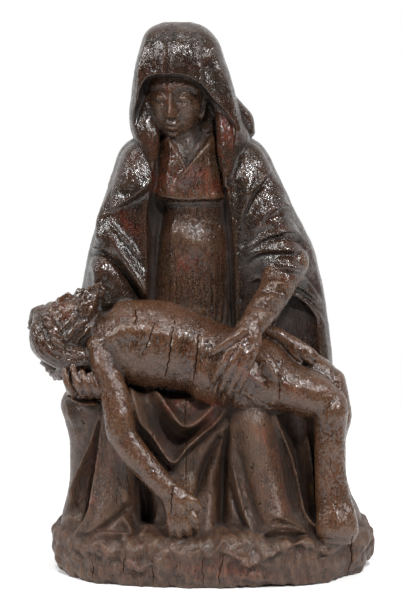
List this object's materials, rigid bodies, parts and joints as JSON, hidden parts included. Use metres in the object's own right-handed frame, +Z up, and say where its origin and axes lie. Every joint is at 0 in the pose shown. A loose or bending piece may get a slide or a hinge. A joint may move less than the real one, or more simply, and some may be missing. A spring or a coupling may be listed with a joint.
{
  "type": "pieta statue",
  "caption": "Carved oak devotional group: a hooded, cloaked mother seated with her dead son lying across her lap, on a low rocky oval plinth.",
  "frame": {"origin": "centre of the plinth's flat underside", "axes": "+X to the viewer's right, +Y towards the back, +Z up"},
  "size_m": [0.3899, 0.2388, 0.623],
  "materials": {
    "waxed_oak": "dark waxed oak, glossy and crackled, with worn traces of red"
  },
  "bodies": {
    "root": {"pieta_group": "waxed_oak"}
  },
  "joints": []
}
